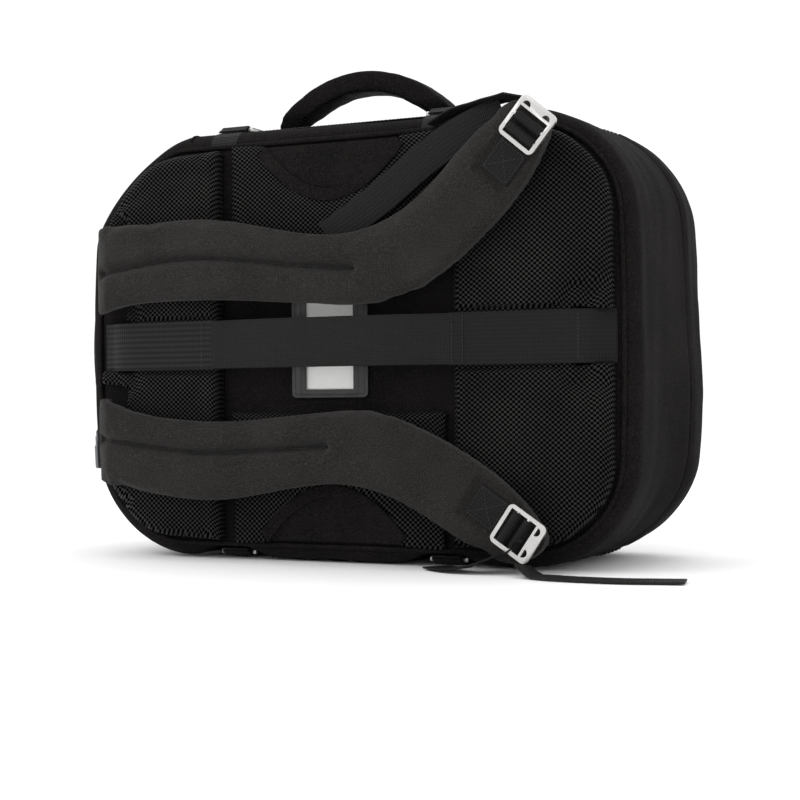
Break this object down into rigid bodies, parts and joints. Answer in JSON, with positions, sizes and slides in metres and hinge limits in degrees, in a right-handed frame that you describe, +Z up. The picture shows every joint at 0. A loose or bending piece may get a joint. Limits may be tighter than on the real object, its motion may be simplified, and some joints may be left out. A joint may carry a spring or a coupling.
{
  "type": "travel backpack",
  "caption": "Padded travel backpack on its long side, with zipped cover, laptop sleeve, shoulder straps, two handles and a strap that slips over a trolley handle.",
  "frame": {"origin": "centre of the flat long side that the pack rests on, at the height of what it rests on", "axes": "+Z up to the carry handle's side, +X to the pack's bottom as worn, +Y to its front, -Y to the wearer's back"},
  "size_m": [0.5539, 0.2534, 0.4023],
  "materials": {
    "pack_cloth": "plain-weave polyester, near black",
    "strap_cloth": "brushed plain-weave polyester over foam",
    "spacer_mesh": "knitted spacer mesh over foam",
    "webbing": "woven polyester webbing",
    "elastic": "ribbed woven elastic",
    "lining": "lining over foam",
    "lining_mesh": "open lining mesh",
    "zipper_coil": "nylon coil zipper",
    "slider_metal": "die-cast, black coated",
    "pull_rubber": "moulded soft grip, grey",
    "cast_buckle": "satin, die-cast",
    "holder_frame": "grained sheet vinyl",
    "clear_sheet": "clear flexible sheet",
    "card": "blank white card",
    "frame_plastic": "polyethylene sheet"
  },
  "bodies": {
    "pack": {"anchor_web_lower": "webbing", "anchor_web_upper": "webbing", "back_panel": "pack_cloth", "bottom_end_panel": "pack_cloth", "card": "card", "card_holder_frame": "holder_frame", "card_window": "clear_sheet", "carry_handle_tabs": "webbing", "carry_side_panel": "pack_cloth", "frame_sheet": "frame_plastic", "grab_handle_tabs": "webbing", "hinge_fabric": "lining", "laptop_divider": "lining", "laptop_zip_chain": "zipper_coil", "lash_loops": "webbing", "lash_webs": "webbing", "lumbar_pad": "spacer_mesh", "main_zip_chain": "zipper_coil", "rest_side_panel": "pack_cloth", "side_mesh_strips": "spacer_mesh", "top_end_panel": "pack_cloth", "trolley_elastic": "elastic", "trolley_web_bottom": "webbing", "trolley_web_top": "webbing", "upper_back_pad": "spacer_mesh", "waist_patches": "pack_cloth"},
    "strap_upper": {"shoulder_strap_upper": "strap_cloth", "strap_patch_upper": "webbing", "tail_web_upper": "webbing"},
    "strap_lower": {"shoulder_strap_lower": "strap_cloth", "strap_patch_lower": "webbing", "tail_web_lower": "webbing"},
    "lock_upper": {"ladder_lock_upper": "cast_buckle", "web_wrap_upper": "webbing"},
    "lock_lower": {"ladder_lock_lower": "cast_buckle", "web_wrap_lower": "webbing"},
    "carry_handle": {"carry_handle": "strap_cloth"},
    "grab_handle": {"grab_handle": "strap_cloth"},
    "cover": {"cover_front_panel": "pack_cloth", "cover_top_wall": "pack_cloth", "cover_bottom_wall": "pack_cloth", "cover_carry_wall": "pack_cloth", "cover_rest_wall": "pack_cloth", "front_pocket": "pack_cloth", "pocket_zip_chain": "zipper_coil", "inner_mesh_pocket": "lining_mesh"},
    "laptop_slider": {"laptop_slider": "slider_metal"},
    "laptop_pull": {"laptop_pull": "pull_rubber"},
    "main_a_slider": {"main_a_slider": "slider_metal"},
    "main_a_pull": {"main_a_pull": "pull_rubber"},
    "main_b_slider": {"main_b_slider": "slider_metal"},
    "main_b_pull": {"main_b_pull": "pull_rubber"},
    "pocket_slider": {"pocket_slider": "slider_metal"},
    "pocket_pull": {"pocket_pull": "pull_rubber"},
    "lash_buckle_carry_1": {"lash_buckle_carry_1": "cast_buckle"},
    "lash_buckle_carry_2": {"lash_buckle_carry_2": "cast_buckle"},
    "lash_buckle_rest_1": {"lash_buckle_rest_1": "cast_buckle"},
    "lash_buckle_rest_2": {"lash_buckle_rest_2": "cast_buckle"}
  },
  "joints": [
    {"name": "strap_upper_swing", "type": "hinge", "parent": "pack", "child": "strap_upper", "pos_m": [-0.2293, -0.097, 0.235], "axis": [0, 0, -1], "range_deg": [0, 30]},
    {"name": "strap_lower_swing", "type": "hinge", "parent": "pack", "child": "strap_lower", "pos_m": [-0.2293, -0.097, 0.1], "axis": [0, 0, -1], "range_deg": [0, 30]},
    {"name": "lock_upper_tilt", "type": "hinge", "parent": "strap_upper", "child": "lock_upper", "pos_m": [0.1624, -0.1288, 0.3223], "axis": [0.766, 0, -0.6428], "range_deg": [0, 15]},
    {"name": "lock_lower_tilt", "type": "hinge", "parent": "strap_lower", "child": "lock_lower", "pos_m": [0.1511, -0.1288, 0.0351], "axis": [-0.5592, 0, -0.829], "range_deg": [0, 15]},
    {"name": "carry_handle_swing", "type": "hinge", "parent": "pack", "child": "carry_handle", "pos_m": [-0.012, -0.026, 0.3553], "axis": [1, 0, 0], "range_deg": [-45, 30]},
    {"name": "grab_handle_swing", "type": "hinge", "parent": "pack", "child": "grab_handle", "pos_m": [-0.25016, -0.046, 0.175], "axis": [0, 0, 1], "range_deg": [-45, 45]},
    {"name": "cover_swing", "type": "hinge", "parent": "pack", "child": "cover", "pos_m": [0.2425, 0.02, 0.175], "axis": [0, 0, -1], "range_deg": [0, 100]},
    {"name": "laptop_slide", "type": "slide", "parent": "pack", "child": "laptop_slider", "axis": [-0.0421, 0, 0.9991], "range_m": [0, 0.04]},
    {"name": "laptop_pull_swing", "type": "hinge", "parent": "laptop_slider", "child": "laptop_pull", "pos_m": [-0.24927, -0.078, 0.09885], "axis": [0, 1, 0], "range_deg": [0, 150]},
    {"name": "main_a_slide", "type": "slide", "parent": "pack", "child": "main_a_slider", "axis": [-1, 0, 0], "range_m": [0, 0.09]},
    {"name": "main_a_pull_swing", "type": "hinge", "parent": "main_a_slider", "child": "main_a_pull", "pos_m": [-0.029, 0.02, 0.3549], "axis": [0, 1, 0], "range_deg": [0, 150]},
    {"name": "main_b_slide", "type": "slide", "parent": "pack", "child": "main_b_slider", "axis": [1, 0, 0], "range_m": [0, 0.09]},
    {"name": "main_b_pull_swing", "type": "hinge", "parent": "main_b_slider", "child": "main_b_pull", "pos_m": [0.029, 0.02, 0.3549], "axis": [0, -1, 0], "range_deg": [0, 150]},
    {"name": "pocket_slide", "type": "slide", "parent": "cover", "child": "pocket_slider", "axis": [0, 0, 1], "range_m": [0, 0.09]},
    {"name": "pocket_pull_swing", "type": "hinge", "parent": "pocket_slider", "child": "pocket_pull", "pos_m": [-0.121, 0.0865, 0.143], "axis": [1, 0, 0], "range_deg": [0, 150]},
    {"name": "lash_carry_1_tilt", "type": "hinge", "parent": "pack", "child": "lash_buckle_carry_1", "pos_m": [-0.11, -0.075, 0.3539], "axis": [1, 0, 0], "range_deg": [0, 70]},
    {"name": "lash_carry_2_tilt", "type": "hinge", "parent": "pack", "child": "lash_buckle_carry_2", "pos_m": [0.08, -0.075, 0.3539], "axis": [1, 0, 0], "range_deg": [0, 70]},
    {"name": "lash_rest_1_tilt", "type": "hinge", "parent": "pack", "child": "lash_buckle_rest_1", "pos_m": [-0.11, -0.075, 0.0041], "axis": [-1, 0, 0], "range_deg": [0, 70]},
    {"name": "lash_rest_2_tilt", "type": "hinge", "parent": "pack", "child": "lash_buckle_rest_2", "pos_m": [0.08, -0.075, 0.0041], "axis": [-1, 0, 0], "range_deg": [0, 70]}
  ]
}
